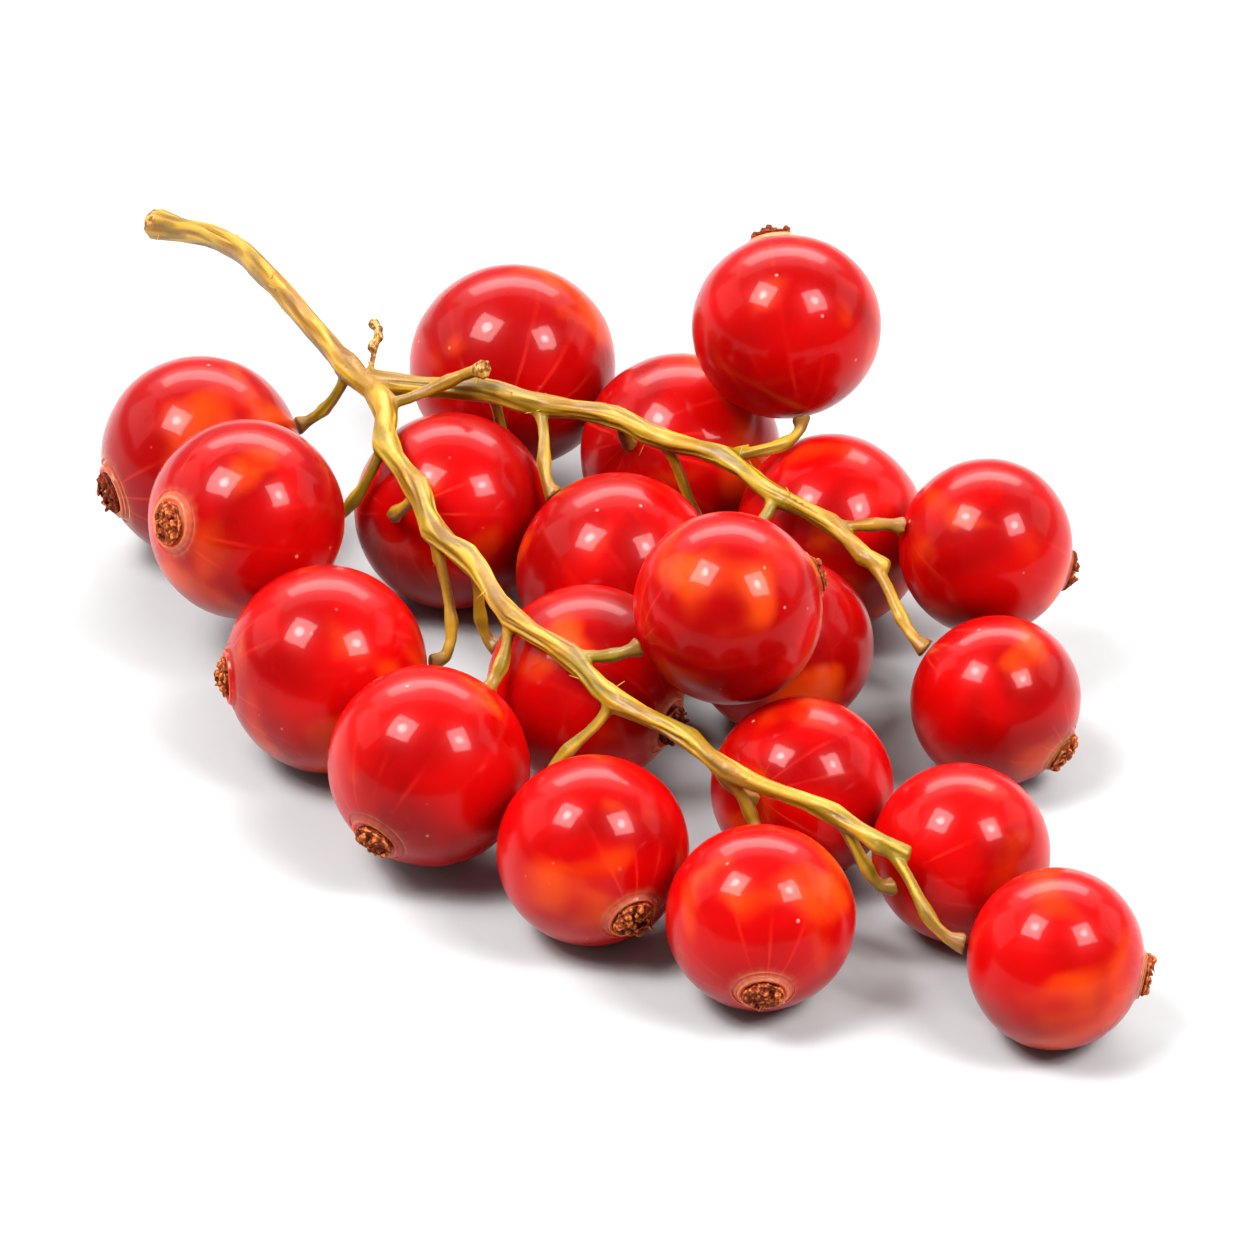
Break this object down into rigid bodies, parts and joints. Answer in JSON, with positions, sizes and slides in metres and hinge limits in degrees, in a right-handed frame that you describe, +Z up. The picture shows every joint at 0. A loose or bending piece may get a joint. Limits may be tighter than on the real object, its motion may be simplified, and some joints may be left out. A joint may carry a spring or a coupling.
{
  "type": "sprig of redcurrants",
  "caption": "Forked green currant stalk carrying round glossy red berries, each with a small dry brown flower at its end, lying on a surface.",
  "frame": {"origin": "on the surface the sprig lies on, under the middle of its bounding box", "axes": "+X along the sprig from the cut end of the stalk to the tips, +Y across it towards the shorter arm, +Z up"},
  "size_m": [0.0822, 0.0412, 0.018],
  "materials": {
    "stem": "matt, fresh yellow-green plant stem; wood stands in for soft plant fibre",
    "berry": "high gloss translucent red fruit skin; gloss_plastic stands in for ripe fruit",
    "dry_flower": "dry crumpled brown; wood stands in for withered petals"
  },
  "bodies": {
    "root": {"stem": "stem", "berry_01": "berry", "berry_02": "berry", "berry_03": "berry", "berry_04": "berry", "berry_05": "berry", "berry_06": "berry", "berry_07": "berry", "berry_08": "berry", "berry_09": "berry", "berry_10": "berry", "berry_11": "berry", "berry_12": "berry", "berry_13": "berry", "berry_14": "berry", "berry_15": "berry", "berry_16": "berry", "berry_17": "berry", "berry_18": "berry", "berry_19": "berry", "berry_20": "berry", "dry_flower_01": "dry_flower", "dry_flower_02": "dry_flower", "dry_flower_03": "dry_flower", "dry_flower_04": "dry_flower", "dry_flower_05": "dry_flower", "dry_flower_06": "dry_flower", "dry_flower_07": "dry_flower", "dry_flower_08": "dry_flower", "dry_flower_09": "dry_flower", "dry_flower_10": "dry_flower", "dry_flower_11": "dry_flower", "dry_flower_12": "dry_flower", "dry_flower_13": "dry_flower", "dry_flower_14": "dry_flower", "dry_flower_15": "dry_flower", "dry_flower_16": "dry_flower", "dry_flower_17": "dry_flower", "dry_flower_18": "dry_flower", "dry_flower_19": "dry_flower", "dry_flower_20": "dry_flower"}
  },
  "joints": []
}
